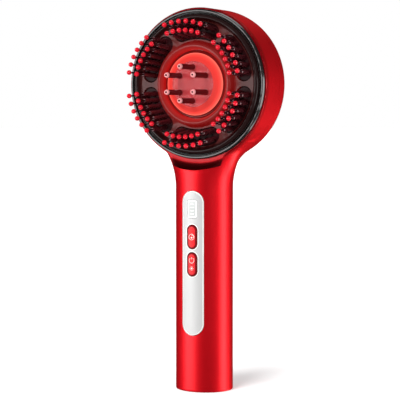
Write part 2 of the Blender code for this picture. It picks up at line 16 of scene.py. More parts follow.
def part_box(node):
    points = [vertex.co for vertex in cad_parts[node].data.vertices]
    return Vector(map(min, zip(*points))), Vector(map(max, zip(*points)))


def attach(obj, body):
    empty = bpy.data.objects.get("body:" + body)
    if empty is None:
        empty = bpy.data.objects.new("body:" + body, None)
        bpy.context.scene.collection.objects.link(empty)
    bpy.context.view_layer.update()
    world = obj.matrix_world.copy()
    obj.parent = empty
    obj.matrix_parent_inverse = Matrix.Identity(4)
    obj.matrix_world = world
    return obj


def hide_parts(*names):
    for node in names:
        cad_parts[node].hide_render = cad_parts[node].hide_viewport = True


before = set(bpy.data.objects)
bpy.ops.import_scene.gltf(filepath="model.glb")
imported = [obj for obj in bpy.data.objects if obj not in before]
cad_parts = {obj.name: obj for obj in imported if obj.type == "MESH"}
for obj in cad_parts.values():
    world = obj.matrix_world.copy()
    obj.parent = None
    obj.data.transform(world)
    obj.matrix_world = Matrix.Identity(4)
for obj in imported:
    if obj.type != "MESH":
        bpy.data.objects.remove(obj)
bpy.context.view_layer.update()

MM = 0.001


def box_mm(node):
    """Lowest and highest corner of a CAD node, in millimetres."""
    low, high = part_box(node)
    return low / MM, high / MM


# Places and sizes, most of them read from the frame
SHELL_LOW, SHELL_HIGH = box_mm("front_housing")
HEAD_R = SHELL_HIGH.x
HEAD_Z = SHELL_HIGH.z - HEAD_R
BEZEL_TOP_S = 1.7
LIP_Y = box_mm("bezel_ring")[0].y + BEZEL_TOP_S
HANDLE_B = -SHELL_LOW.y
WALL, GAP = 2.4, 0.3
HANDLE_A = box_mm("base_cap")[1].x + WALL + GAP
SEAM_Y = SHELL_HIGH.y + GAP / 2
SEAM_GAP = 0.1
BACK_Y = box_mm("back_cover")[1].y
PANEL_LOW, PANEL_HIGH = box_mm("control_panel")
PANEL_W = PANEL_HIGH.x - PANEL_LOW.x
PANEL_H, PANEL_Z = PANEL_HIGH.z - PANEL_LOW.z, (PANEL_HIGH.z + PANEL_LOW.z) / 2
WINDOW_LOW, WINDOW_HIGH = box_mm("display_window")
WINDOW_W, WINDOW_H = WINDOW_HIGH.x - WINDOW_LOW.x, WINDOW_HIGH.z - WINDOW_LOW.z
WINDOW_Z, WINDOW_CORNER = (WINDOW_LOW.z + WINDOW_HIGH.z) / 2, 0.8
FLAP_LOW, FLAP_HIGH = box_mm("port_flap")
FLAP_Z = (FLAP_LOW.z + FLAP_HIGH.z) / 2

# Neck and head
NECK_Z, NECK_FILLET = 113.6, 34.5
HEAD_SIDE, HEAD_EDGE_R, HEAD_CROWN = 22.0, 9.5, 0.6
HEAD_EDGE_D = BACK_Y - LIP_Y - HEAD_SIDE - HEAD_CROWN
SCOOP_FOOT, SCOOP_W = HEAD_R + 0.1, 4.8
SCOOP_DEPTH = HANDLE_B + LIP_Y
BEZEL_R, BEZEL_BEAD_R, BEZEL_DEPTH = 41.1, 41.6, 4.5
HANDLE_TOP_DROP = 21  # the handle's skin ends this far below the head's centre, inside the head

# How softly one surface of the body runs into the next
LIP_EDGE, SCOOP_EDGE, FOOT_EDGE = 0.9, 0.5, 0.8
NECK_BLEND, NECK_BLEND_BEHIND = 1.6, 5
SKIN_STEP, QUICK_SKIN_STEP = 0.62, 1.1

# Ranges of y that cutters through the front wall and through the back wall take up
FRONT_CUT, REAR_CUT = (-30, -5), (5, 30)
PANEL_POCKET, FLAP_POCKET, DISPLAY_SLOT_ROOM = 1.5, 1.2, 0.5
HOLLOW_TOP_DROP = 26  # the handle's hollow ends this far below the head's centre

# Comb head
FLOOR_S, TIP_S, NOZZLE_TIP_S, NOZZLE_FOOT_S = 0.5, 19.0, 21.0, -1.2
PAD_COUNT, PAD_R, PAD_HALF_W, PAD_HALF_DEG = 6, 29.7, 4.6, 18.2
PAD_WELL = (-4, 3)
ROWS = ((27.4, 29.2), (31.9, 34.2))
ROW_STEP_DEG, ROW_BRISTLES = 7.6, 6
BEAD_R, BEAD_HALF_LENGTH = 1.32, 1.45
NOZZLE_COUNT, NOZZLE_PITCH_R, NOZZLE_R = 6, 9.3, 1.5

# Buttons, and the charging port with its flap
BUTTON_W, BUTTON_H, RIM_W = 6.0, 13.2, 0.45
ICON_SINK, ICON_PROUD = 0.05, 0.03
FLAP_W, FLAP_H, FLAP_ROOM = 12, 8, 0.8
PORT_W, PORT_H = 9.8, 4.0
PLUG_W, PLUG_H, PLUG_Y = 8.0, 2.4, (12.9, 14.0)

# Shading: edges sharper than this stay sharp, and points nearer than this many metres are one
SHARP_DEG, SHELL_SHARP_DEG, WELD_M = 32, 30, 1e-7

HEAD_MATRIX = Matrix.Translation((0, LIP_Y * MM, HEAD_Z * MM)) @ Matrix.Rotation(math.pi / 2, 4, "X")


# ---------------------------------------------------------------- mesh helpers


def add_object(name, data):
    """A new object in the scene, at the origin."""
    made = bpy.data.objects.new(name, data)
    bpy.context.scene.collection.objects.link(made)
    return made


def mesh_object(name, points, faces, materials, face_materials=None, matrix=None):
    """An object from points in millimetres, shaded smooth except across sharp edges."""
    mesh = bpy.data.meshes.new(name)
    mesh.from_pydata([tuple(c * MM for c in p) for p in points], [], faces)
    for material in materials:
        mesh.materials.append(material)
    if face_materials is not None:
        mesh.polygons.foreach_set("material_index", face_materials)
    finish_mesh(mesh)
    made = add_object(name, mesh)
    if matrix is not None:
        made.matrix_world = matrix
    return made


def finish_mesh(mesh, sharp_deg=SHARP_DEG):
    """Turns the faces outwards, and shades them smooth except across edges sharper than sharp_deg."""
    shape = bmesh.new()
    shape.from_mesh(mesh)
    bmesh.ops.remove_doubles(shape, verts=shape.verts, dist=WELD_M)
    bmesh.ops.recalc_face_normals(shape, faces=shape.faces)
    shape.to_mesh(mesh)
    shape.free()
    mesh.shade_smooth()
    mesh.set_sharp_from_angle(angle=math.radians(sharp_deg))


def side_faces(rings, count, closed=False):
    """Quads between neighbouring rings of count points each, listed ring after ring."""
    faces = []
    for row in range(rings if closed else rings - 1):
        this, following = row * count, (row + 1) % rings * count
        for i in range(count):
            j = (i + 1) % count
            faces.append([this + i, this + j, following + j, following + i])
    return faces


def end_faces(rings, count):
    """The first ring and the last, each filled with one face."""
    last = (rings - 1) * count
    return [list(range(count)), list(range(last, last + count))]


def rounded(points, radius, steps=3):
    """An open outline with its inner corners rounded by about radius."""
    found = [points[0]]
    for before, corner, after in zip(points, points[1:], points[2:]):
        p, a, b = (np.array(v, float) for v in (corner, before, after))
        reach = min(radius, 0.45 * np.linalg.norm(a - p), 0.45 * np.linalg.norm(b - p))
        start = p + (a - p) / np.linalg.norm(a - p) * reach
        end = p + (b - p) / np.linalg.norm(b - p) * reach
        for i in range(steps + 1):
            t = i / steps
            found.append(tuple((1 - t) ** 2 * start + 2 * t * (1 - t) * p + t**2 * end))
    found.append(points[-1])
    return found


def closed_round(points, radius, steps=3):
    """A closed outline with every corner rounded."""
    looped = rounded([points[-1], *points, points[0]], radius, steps)
    return looped[1:-1]


def revolve(profile, segments=96, ring=False):
    """(points, faces, step of each face) of a profile of (radius, height) turned about z."""
    points, rows, faces, owner = [], [], [], []
    for r, z in profile:
        if r < 1e-6:
            rows.append([len(points)] * segments)
            points.append((0, 0, z))
            continue
        rows.append(list(range(len(points), len(points) + segments)))
        for i in range(segments):
            angle = 2 * math.pi * i / segments
            points.append((r * math.cos(angle), r * math.sin(angle), z))
    pairs = list(zip(rows, rows[1:])) + ([(rows[-1], rows[0])] if ring else [])
    for step, (upper, lower) in enumerate(pairs):
        for i in range(segments):
            j = (i + 1) % segments
            corners = []
            for corner in (upper[i], upper[j], lower[j], lower[i]):
                if corner not in corners:
                    corners.append(corner)
            faces.append(corners)
            owner.append(step)
    return points, faces, owner


def turned(name, profile, materials, segments=96, ring=False, matrix=HEAD_MATRIX, paint=None):
    """A turned piece. paint(radius, height) gives the material index at the middle of a profile step."""
    points, faces, owner = revolve(profile, segments, ring)
    indices = None
    if paint:
        ends = list(zip(profile, profile[1:] + profile[:1]))
        steps = [paint((a[0] + b[0]) / 2, (a[1] + b[1]) / 2) for a, b in ends]
        indices = [steps[i] for i in owner]
    return mesh_object(name, points, faces, materials, indices, matrix)


def prism(name, outline, low, high, matrix=None, axis="z"):
    """A cutter: a flat closed outline extruded along z, or along y for an outline in x and z."""
    count = len(outline)
    points = [(x, y, z) for z in (low, high) for x, y in outline]
    if axis == "y":
        points = [(x, z, y) for x, y, z in points]
    return mesh_object(name, points, end_faces(2, count) + side_faces(2, count), [], matrix=matrix)


def rounded_rectangle(width, height, z, radius, steps=6):
    """Points (x, z) of a rectangle with round corners."""
    found = []
    for quarter, (sx, sz) in enumerate(((1, 1), (-1, 1), (-1, -1), (1, -1))):
        cx, cz = sx * (width / 2 - radius), z + sz * (height / 2 - radius)
        for i in range(steps + 1):
            angle = math.pi / 2 * (quarter + i / steps)
            found.append((cx + radius * math.cos(angle), cz + radius * math.sin(angle)))
    return found


def stadium_outline(width, height, z, inset=0.0):
    """Points (x, z) round a slot shape with two straight sides and two round ends."""
    radius = min(width, height) / 2 - inset
    return rounded_rectangle(width - 2 * inset, height - 2 * inset, z, radius, 16)


def polar(radius, degrees):
    angle = math.radians(degrees)
    return radius * math.cos(angle), radius * math.sin(angle)


def kidney(radius, half_width, half_deg, centre_deg, round_steps=10, arc_steps=14):
    """Outline of a slot bent round the head's axis, with round ends."""
    found = []
    first, last = centre_deg - half_deg, centre_deg + half_deg
    for i in range(arc_steps + 1):
        found.append(polar(radius + half_width, first + (last - first) * i / arc_steps))
    found += round_end(radius, half_width, last, last, round_steps)
    for i in range(arc_steps + 1):
        found.append(polar(radius - half_width, last - (last - first) * i / arc_steps))
    return found + round_end(radius, half_width, first, first + 180, round_steps)


def round_end(radius, half_width, degrees, start, steps):
    """Half a circle round the end of a kidney, without its two end points."""
    cx, cy = polar(radius, degrees)
    offsets = [polar(half_width, start + 180 * i / steps) for i in range(1, steps)]
    return [(cx + x, cy + y) for x, y in offsets]


def combine(target, cutters, operation="DIFFERENCE"):
    """Applies Booleans to target and removes the cutters."""
    for cutter in cutters:
        modifier = target.modifiers.new(cutter.name, "BOOLEAN")
        modifier.operation = operation
        modifier.solver = "MANIFOLD"
        modifier.object = cutter
    graph = bpy.context.evaluated_depsgraph_get()
    old = target.data
    target.data = bpy.data.meshes.new_from_object(target.evaluated_get(graph))
    target.modifiers.clear()
    bpy.data.meshes.remove(old)
    for cutter in cutters:
        mesh = cutter.data
        bpy.data.objects.remove(cutter)
        bpy.data.meshes.remove(mesh)


def settle(piece, body, slot, *nodes):
    """Puts a finished piece on its body, in place of the CAD nodes that it stands for."""
    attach(piece, body)
    if nodes:
        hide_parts(*nodes)
    return piece


# ---------------------------------------------------------------- materials


def new_material(name, colour, roughness, metallic=0.0, **more):
    material = bpy.data.materials.new(name)
    material.use_nodes = True
    shader = material.node_tree.nodes["Principled BSDF"]
    shader.inputs["Base Color"].default_value = (*colour, 1)
    shader.inputs["Roughness"].default_value = roughness
    shader.inputs["Metallic"].default_value = metallic
    for key, value in more.items():
        socket = shader.inputs[key.replace("_", " ").title().replace("Ior", "IOR")]
        socket.default_value = (*value, 1) if isinstance(value, tuple) else value
    return material


class Nodes:
    """Adds nodes to a material and links them."""

    def __init__(self, material):
        self.tree = material.node_tree
        self.shader = self.tree.nodes["Principled BSDF"]

    def add(self, kind, **values):
        node = self.tree.nodes.new(kind)
        for key, value in values.items():
            if hasattr(node, key):
                setattr(node, key, value)
            else:
                node.inputs[key.replace("_", " ").title()].default_value = value
        return node

    def link(self, output, target):
        self.tree.links.new(output, target)
        return target

    def coordinates(self):
        return self.add("ShaderNodeTexCoord").outputs["Object"]

    def noise(self, scale, detail=2.0, source=None):
        node = self.add("ShaderNodeTexNoise", scale=scale, detail=detail)
        self.link(source or self.coordinates(), node.inputs["Vector"])
        return node.outputs["Fac"]

    def ramp(self, factor, stops):
        node = self.add("ShaderNodeValToRGB")
        ramp = node.color_ramp
        while len(ramp.elements) < len(stops):
            ramp.elements.new(0.5)
        for element, (place, colour) in zip(ramp.elements, stops):
            element.position = place
            element.color = (*colour, 1)
        self.link(factor, node.inputs["Fac"])
        return node.outputs["Color"]

    def mapped(self, value, low, high, start=0, end=1):
        """value, from low to high, mapped to the range from start to end."""
        node = self.add("ShaderNodeMapRange")
        for socket, number in (("From Min", low), ("From Max", high), ("To Min", start), ("To Max", end)):
            node.inputs[socket].default_value = number
        self.link(value, node.inputs["Value"])
        return node.outputs["Result"]

    def spread(self, factor, start, end):
        """factor, from 0 to 1, mapped to the range from start to end."""
        return self.mapped(factor, 0, 1, start, end)

    def bump(self, height, strength, distance_mm):
        node = self.add("ShaderNodeBump")
        node.inputs["Strength"].default_value = strength
        node.inputs["Distance"].default_value = distance_mm * MM
        self.link(height, node.inputs["Height"])
        self.link(node.outputs["Normal"], self.shader.inputs["Normal"])

    def radius(self, from_head=False):
        """Distance in metres from the piece's own z axis, or from the head's if it has the world's axes."""
        place = self.add("ShaderNodeMapping")
        place.inputs["Location"].default_value = (0, 0, -HEAD_Z * MM if from_head else 0)
        place.inputs["Scale"].default_value = (1, 0, 1) if from_head else (1, 1, 0)
        self.link(self.coordinates(), place.inputs["Vector"])
        length = self.add("ShaderNodeVectorMath", operation="LENGTH")
        self.link(place.outputs[0], length.inputs[0])
        return length.outputs["Value"]

    def radial(self, low, high, from_head=False):
        """0 at the radius low and 1 at high, both in millimetres."""
        return self.mapped(self.radius(from_head), low * MM, high * MM)

    def before_lip(self, zero, one):
        """0 at the first distance in front of the head's lip and 1 at the second, both in millimetres."""
        split = self.add("ShaderNodeSeparateXYZ")
        self.link(self.coordinates(), split.inputs[0])
        return self.mapped(split.outputs["Y"], (LIP_Y - zero) * MM, (LIP_Y - one) * MM)

    def combined(self, first, second, operation="MULTIPLY"):
        node = self.add("ShaderNodeMath", operation=operation)
        self.link(first, node.inputs[0])
        self.link(second, node.inputs[1])
        return node.outputs[0]

    def painted_shade(self, colour, factor):
        """colour, fading to nearly black as factor goes from 0 to 1, as painted shade."""
        mix = self.add("ShaderNodeMix", data_type="RGBA")
        mix.inputs[7].default_value = (0.05, 0.0, 0.001, 1)
        self.link(factor, mix.inputs[0])
        self.link(colour, mix.inputs[6])
        return mix.outputs[2]


def greys(*stops):
    """Stops of a ramp from (place, grey) pairs."""
    return [(place, (grey,) * 3) for place, grey in stops]


def red_lacquer():
    """Satin metallic red: fine flake under a thin clear coat, with painted shade in the scoop and on the
    head's edge beside the bezel.
    """
    material = new_material(
        "red_lacquer", (0.8, 0.003, 0.01), 0.5, 0.77, specular_ior_level=0.15,
        specular_tint=(1.0, 0.12, 0.14), coat_weight=0.3, coat_roughness=0.32,
    )
    n = Nodes(material)
    flake = n.noise(9000, 1.0)
    paint = n.ramp(flake, [(0.35, (0.68, 0.002, 0.008)), (0.7, (0.8, 0.005, 0.014))])
    # Painted shade: the scoop below the bezel is darkened, most towards its outer edge on the neck.
    across = n.radial(SCOOP_FOOT - 1, SCOOP_FOOT + SCOOP_W + 0.2, from_head=True)
    shade = n.ramp(across, greys((0, 0.6), (0.6, 0.95), (0.97, 1), (1, 0)))
    scoop = n.combined(shade, n.before_lip(-0.1, 0.3))
    # Painted shade: the head's red edge just behind the lip is darkened beside the bezel.
    head = n.ramp(n.radial(HEAD_R, HEAD_R + 1.5, from_head=True), greys((0.3, 0.6), (0.9, 0)))
    rim = n.combined(head, n.before_lip(-4.5, -0.5))
    n.link(n.painted_shade(paint, n.combined(scoop, rim, "MAXIMUM")), n.shader.inputs["Base Color"])
    n.link(n.spread(n.noise(90, 3.0), 0.46, 0.54), n.shader.inputs["Roughness"])
    n.bump(n.noise(5200, 1.0), 0.04, 0.02)
    return material


def moulded(name, colour, roughness, grain=1400, depth=0.02, **more):
    """Moulded plastic or rubber with a fine grain and slightly uneven gloss."""
    material = new_material(name, colour, roughness, **more)
    n = Nodes(material)
    darker = tuple(c * 0.82 for c in colour)
    lighter = tuple(min(c * 1.12, 1) for c in colour)
    n.link(n.ramp(n.noise(60, 4.0), [(0.3, darker), (0.7, lighter)]), n.shader.inputs["Base Color"])
    gloss = n.spread(n.noise(140, 2.0), roughness * 0.85, min(roughness * 1.15, 1))
    n.link(gloss, n.shader.inputs["Roughness"])
    n.bump(n.noise(grain, 2.0), 0.12, depth)
    return material


def brushed(name, colour, roughness, metallic=1.0, **more):
    """Metal, or metallic paint, with fine lines along z."""
    material = new_material(name, colour, roughness, metallic, **more)
    n = Nodes(material)
    stretch = n.add("ShaderNodeMapping")
    stretch.inputs["Scale"].default_value = (1, 1, 0.02)
    n.link(n.coordinates(), stretch.inputs["Vector"])
    lines = n.noise(2600, 2.0, stretch.outputs["Vector"])
    n.link(n.spread(lines, roughness * 0.8, roughness * 1.25), n.shader.inputs["Roughness"])
    n.bump(lines, 0.04, 0.02)
    return material


def smoky_plastic():
    """Dark smoky plastic, with the hub's red light painted on as a glow that fades outwards from the hub."""
    material = new_material("smoky_plastic", (0.06, 0.014, 0.013), 0.14, specular_ior_level=0.14)
    n = Nodes(material)
    # Painted light: a red glow beside the hub, fading to nearly nothing at the rim.
    stops = [(0.0, (0.55, 0.004, 0.004)), (0.22, (0.2, 0.001, 0.001))]
    stops += [(0.5, (0.03, 0.0, 0.0)), (1.0, (0.004, 0.0, 0.0))]
    n.link(n.ramp(n.radial(17, 38), stops), n.shader.inputs["Emission Color"])
    n.shader.inputs["Emission Strength"].default_value = 1.0
    body = n.ramp(n.radial(34, 37), [(0.1, (0.06, 0.014, 0.013)), (0.7, (0.012, 0.007, 0.007))])
    n.link(body, n.shader.inputs["Base Color"])
    n.link(n.spread(n.noise(120, 3.0), 0.1, 0.2), n.shader.inputs["Roughness"])
    n.bump(n.noise(400, 2.0), 0.04, 0.05)
    return material


def glowing(name, colour, glow, roughness=0.2, patch=160, low=0.7):
    """Plastic that glows a little unevenly: clear plastic lit from behind in the display and the tank, and a
    painted glow on the button icons.
    """
    material = new_material(name, colour, roughness)
    n = Nodes(material)
    dim = tuple(c * low for c in glow)
    n.link(n.ramp(n.noise(patch, 2.0), [(0.3, dim), (0.7, glow)]), n.shader.inputs["Emission Color"])
    n.shader.inputs["Emission Strength"].default_value = 1.0
    n.bump(n.noise(700, 2.0), 0.05, 0.04)
    return material


def lit_edge():
    """The dome's sloping edge, lit from inside: deep red by the clear top, and bright at the rim."""
    material = new_material("dome_edge_lit", (0.5, 0.03, 0.025), 0.25, specular_ior_level=0.2)
    n = Nodes(material)
    stops = [(0.0, (0.24, 0.014, 0.013)), (0.5, (0.4, 0.018, 0.014))]
    stops += [(0.8, (0.85, 0.07, 0.05)), (1.0, (1.0, 0.2, 0.14))]
    n.link(n.ramp(n.radial(12.7, 17.3), stops), n.shader.inputs["Emission Color"])
    n.shader.inputs["Emission Strength"].default_value = 0.8
    n.bump(n.noise(700, 2.0), 0.05, 0.04)
    return material


LOOK = {
    "lacquer": red_lacquer(),
    "silver": brushed("silver_lacquer", (0.49, 0.49, 0.487), 0.5, 0.2, specular_ior_level=0.15),
    # Pale colour painted as a highlight on the panel's rounded edge and on the button rims
    "painted_highlight_edge": moulded("painted_highlight_edge", (0.93, 0.89, 0.85), 0.3),
    "button": moulded("button_red", (0.62, 0.004, 0.009), 0.3, specular_ior_level=0.15),
    # A darker copy of the button's red, painted as shade on its sides and rounded shoulder
    "button_side": moulded("button_painted_shade_red", (0.16, 0.002, 0.004), 0.4, specular_ior_level=0.1),
    # The button icons are raised print on an opaque cap; their glow is painted light.
    "icon": glowing("icon_painted_glow", (0.85, 0.55, 0.5), (0.25, 0.12, 0.1)),
    "display": moulded("display_glass", (0.5, 0.52, 0.51), 0.4, specular_ior_level=0.1),
    "display_light": glowing("display_light", (0.9, 0.92, 0.9), (0.35, 0.36, 0.35)),
    "black": moulded("black_gloss", (0.012, 0.009, 0.009), 0.15, grain=600),
    "smoky": smoky_plastic(),
    "pad": moulded("pad_rubber", (0.02, 0.002, 0.003), 0.4, specular_ior_level=0.1),
    "sleeve": moulded("sleeve_smoky", (0.05, 0.007, 0.01), 0.18, specular_ior_level=0.8,
                      specular_tint=(1.0, 0.7, 0.72)),
    "stem": moulded("stem_black", (0.01, 0.004, 0.005), 0.35, specular_ior_level=0.3),
    # The beads' faint red glow is painted light.
    "bead": moulded("bead_red", (0.62, 0.01, 0.025), 0.15, emission_color=(0.7, 0.005, 0.02),
                    emission_strength=0.1),
    "dome_edge": lit_edge(),
    "valley": moulded("valley_clear_red", (0.11, 0.004, 0.004), 0.22, specular_ior_level=0.2,
                      emission_color=(0.12, 0.001, 0.001), emission_strength=0.4),
    # Half see-through, so that the nozzles' feet show in it
    "dome_top": moulded("dome_top_clear", (0.4, 0.05, 0.055), 0.12, grain=900, specular_ior_level=0.14,
                        emission_color=(0.3, 0.02, 0.025), emission_strength=0.6, alpha=0.55),
    "tank": glowing("tank_lit", (0.4, 0.05, 0.055), (0.16, 0.012, 0.014), 0.3),
    "nozzle": moulded("nozzle_smoky", (0.1, 0.005, 0.007), 0.18),
    "nozzle_tip": moulded("nozzle_tip", (0.8, 0.3, 0.3), 0.3),
    "dark": moulded("dark_plastic", (0.05, 0.05, 0.055), 0.5),
    "rubber": moulded("silicone", (0.035, 0.033, 0.034), 0.62),
    "steel": brushed("plated_steel", (0.62, 0.62, 0.64), 0.3),
    "brass": brushed("machined_brass", (0.7, 0.52, 0.22), 0.32),
    "board": moulded("solder_mask", (0.01, 0.16, 0.06), 0.35),
    "cell": moulded("cell_wrap", (0.05, 0.16, 0.45), 0.35),
    "wire": moulded("wire_red", (0.5, 0.02, 0.02), 0.45),
}


# ---------------------------------------------------------------- shells


def smooth_max(a, b, k):
    """The larger of two fields, rounded over k where they are nearly equal."""
    near = np.clip(k - np.abs(a - b), 0, None) / k
    return np.maximum(a, b) + near**2 * k / 4


def smooth_min(a, b, k):
    return -smooth_max(-a, -b, k)


def neck_half_width(z):
    """Half width of the handle at height z: it widens on a round fillet that meets the head's circle."""
    reach, across = HEAD_R + NECK_FILLET, HANDLE_A + NECK_FILLET
    fillet_end = HEAD_Z - math.sqrt(reach**2 - across**2) * HEAD_R / reach
    rise = np.clip(z - NECK_Z, 0, fillet_end - NECK_Z)
    return HANDLE_A + NECK_FILLET - np.sqrt(NECK_FILLET**2 - rise**2)


def handle_distance(x, y, z):
    """About the distance to the handle's elliptic skin, below 0 inside."""
    a = neck_half_width(z)
    q = np.hypot(x / a, y / HANDLE_B)
    slope = np.hypot(x / a**2, y / HANDLE_B**2) + 1e-9
    return q * (q - 1) / slope


def head_distance(r, s):
    """Turned head: flat front at s = 0, straight side, and a rounded, slightly crowned back."""
    crown = HEAD_CROWN * np.clip(1 - (r / (HEAD_R - HEAD_EDGE_R)) ** 2, 0, 1)
    u = (r - HEAD_R + HEAD_EDGE_R) / HEAD_EDGE_R
    v = (-s - HEAD_SIDE - crown) / HEAD_EDGE_D
    shell = np.hypot(np.clip(u, 0, None), np.clip(v, 0, None)) - 1 + np.clip(np.maximum(u, v), None, 0)
    return smooth_max(shell * HEAD_EDGE_R, s, LIP_EDGE)


def scoop_distance(r, s):
    """The round scoop that the comb head sits in, whose foot is on the lip's plane."""
    u = np.clip(r - SCOOP_FOOT, 0, None) / SCOOP_W
    v = np.clip(s - SCOOP_DEPTH, None, 0) / SCOOP_DEPTH
    return (np.hypot(u, v) - 1) * SCOOP_DEPTH


def body_field(p):
    """Below 0 inside the brush's body, and about the distance to its surface near it."""
    x, y, z = p[..., 0], p[..., 1], p[..., 2]
    r, s = np.hypot(x, z - HEAD_Z), LIP_Y - y
    handle = np.maximum(handle_distance(x, y, z), z - HEAD_Z + HANDLE_TOP_DROP)
    body = smooth_min(head_distance(r, s), handle, NECK_BLEND + NECK_BLEND_BEHIND * np.clip(y / SEAM_Y, 0, 1))
    body = smooth_max(body, -scoop_distance(r, s), SCOOP_EDGE)
    return smooth_max(body, -z, FOOT_EDGE)


def surface_net(field, low, high, step):
    """Points and quads of the surface where field is 0, on a grid with this step."""
    axes = [np.arange(a, b + step, step) for a, b in zip(low, high)]
    value = field(np.stack(np.meshgrid(*axes, indexing="ij"), -1))
    inside = value < 0
    size = np.array(value.shape) - 1
    corners = [(i, j, k) for i in (0, 1) for j in (0, 1) for k in (0, 1)]
    nx, ny, nz = size
    filled = sum(inside[i : i + nx, j : j + ny, k : k + nz].astype(int) for i, j, k in corners)
    active = (filled > 0) & (filled < 8)
    index = np.full(size, -1)
    index[active] = np.arange(active.sum())
    cells = np.argwhere(active)
    total, hits = np.zeros(cells.shape), np.zeros(len(cells))
    for corner in corners:
        for axis in range(3):
            if corner[axis]:
                continue
            start, end = cells + corner, cells + corner
            end[:, axis] += 1
            a, b = value[tuple(start.T)], value[tuple(end.T)]
            crossed = (a < 0) != (b < 0)
            place = start.astype(float)
            place[crossed, axis] += (a / np.where(crossed, a - b, 1))[crossed]
            total[crossed] += place[crossed]
            hits[crossed] += 1
    points = np.array(low) + step * total / hits[:, None]
    quads = []
    for axis in range(3):
        u, v = (axis + 1) % 3, (axis + 2) % 3
        behind = np.take(inside, range(size[axis]), axis)
        ahead = np.take(inside, range(1, size[axis] + 1), axis)
        edges = np.argwhere(behind != ahead)
        across = edges[:, [u, v]]
        edges = edges[np.all((across > 0) & (across < size[[u, v]]), axis=1)]
        du, dv = np.eye(3, dtype=int)[u], np.eye(3, dtype=int)[v]
        quad = np.stack([index[tuple((edges - o).T)] for o in (du + dv, dv, 0 * du, du)], 1)
        out = behind[tuple(edges.T)]
        quads.append(np.where(out[:, None], quad, quad[:, ::-1]))
    return points, np.concatenate(quads)


def onto_surface(field, points, rounds=4, reach=0.02):
    """Moves points along the field's slope until they lie on its surface."""
    for _ in range(rounds):
        value = field(points)
        rises = [field(points + d) - field(points - d) for d in np.eye(3) * reach]
        slope = np.stack(rises, -1) / (2 * reach)
        points = points - value[:, None] * slope / (np.sum(slope**2, -1)[:, None] + 1e-9)
    return points


def head_hollow():
    """The space inside the head's wall, open at the front."""
    inner, back = HEAD_R - WALL, LIP_Y - BACK_Y + WALL
    profile = [(0, 4), (inner, 4), (inner, -HEAD_SIDE)]
    profile += [(inner - 5, back + 1.5), (inner - 9, back), (0, back)]
    return turned("head_hollow", profile, [])


def ellipse(a, b, count):
    return [(a * math.cos(t), b * math.sin(t)) for t in np.linspace(0, 2 * math.pi, count, False)]


def handle_hollow():
    """The space inside the handle and neck, from below the base to well inside the head."""
    rows = np.concatenate([[-5, NECK_Z], np.linspace(NECK_Z, HEAD_Z - HOLLOW_TOP_DROP, 9)[1:]])
    points, count = [], 64
    for z in rows:
        points += [(x, y, z) for x, y in ellipse(float(neck_half_width(z)) - WALL, HANDLE_B - WALL, count)]
    faces = side_faces(len(rows), count) + end_faces(len(rows), count)
    return mesh_object("handle_hollow", points, faces, [])


def scoop_floor():
    """Keeps the neck's wall under the scoop: what the handle's hollow must leave."""
    outer = SCOOP_FOOT + SCOOP_W + WALL
    profile = [(0, 20), (outer + 3, 20), (outer, SCOOP_DEPTH - WALL)]
    profile += [(SCOOP_FOOT + WALL + 1.5, 0.4 - WALL), (SCOOP_FOOT + WALL, -WALL), (0, -WALL)]
    return turned("scoop_floor", profile, [])


def slab(name, y_low, y_high):
    """A cutter between two planes, wider and taller than the brush."""
    return prism(name, [(-60, -10), (60, -10), (60, 240), (-60, 240)], y_low, y_high, axis="y")


def elliptic_rod(name, inset):
    """The straight handle's elliptic cylinder, moved inwards by inset."""
    return prism(name, ellipse(HANDLE_A - inset, HANDLE_B - inset, 160), -20, NECK_Z + 20)


def shallow_pocket(name, outline, depth, y_range):
    """A cutter for a pocket whose floor follows the handle, depth below its surface."""
    cutter = prism(name, outline, *y_range, axis="y")
    combine(cutter, [elliptic_rod(name + "_floor", depth)])
    return cutter


def body_mesh():
    """The whole body's smooth outer skin, as one solid."""
    step = SKIN_STEP
    margin = 2
    low = (-HEAD_R - margin, -HANDLE_B - margin, -margin)
    high = (HEAD_R + margin, BACK_Y + margin, HEAD_Z + HEAD_R + margin)
    points, quads = surface_net(body_field, low, high, step)
    points = onto_surface(body_field, points)
    return mesh_object("body", points.tolist(), quads.tolist(), [LOOK["lacquer"]])


def button_centres():
    """Height of each button's middle."""
    return {name: (box_mm(name)[0].z + box_mm(name)[1].z) / 2 for name in ("power_button", "mode_button")}


def button_holes(kind):
    """Cutters for the holes round the two buttons."""
    width, height = BUTTON_W + 2 * GAP, BUTTON_H + 2 * GAP
    return [
        prism(f"{name}_{kind}", stadium_outline(width, height, z), *FRONT_CUT, axis="y")
        for name, z in button_centres().items()
    ]


